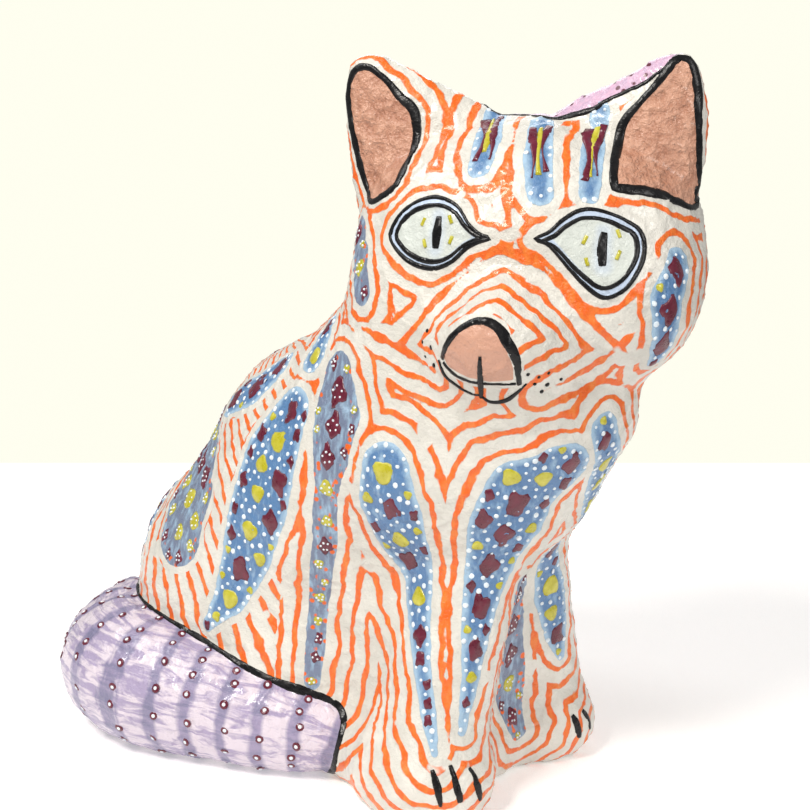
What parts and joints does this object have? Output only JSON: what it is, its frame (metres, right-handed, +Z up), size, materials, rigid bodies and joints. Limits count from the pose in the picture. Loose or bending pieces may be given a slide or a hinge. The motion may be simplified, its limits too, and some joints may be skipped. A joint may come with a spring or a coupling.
{
  "type": "papier-mache cat figure",
  "caption": "Hollow papier-mache figure of a seated cat with its head turned and its tail curled round one side, painted in lines and dotted patches.",
  "frame": {"origin": "centre of the bounding box at the level of the flat underside", "axes": "+Z up; the cat's body faces -Y and its left side is +X"},
  "size_m": [0.1494, 0.2688, 0.2772],
  "materials": {
    "painted_paper": "gloss",
    "tail_paper": "gloss",
    "newspaper": "matte",
    "card": "matte"
  },
  "bodies": {
    "root": {"body_shell_right": "painted_paper", "body_shell_left": "painted_paper", "foreleg_right": "painted_paper", "foreleg_left": "painted_paper", "hind_paw_left": "painted_paper", "face_shell": "painted_paper", "back_of_head_shell": "painted_paper", "ear_right": "painted_paper", "ear_left": "painted_paper", "tail_shell": "tail_paper", "tail_core": "newspaper", "base_board": "card", "neck_collar": "card", "spine_tube": "newspaper", "leg_roll_right": "newspaper", "leg_roll_left": "newspaper"}
  },
  "joints": []
}
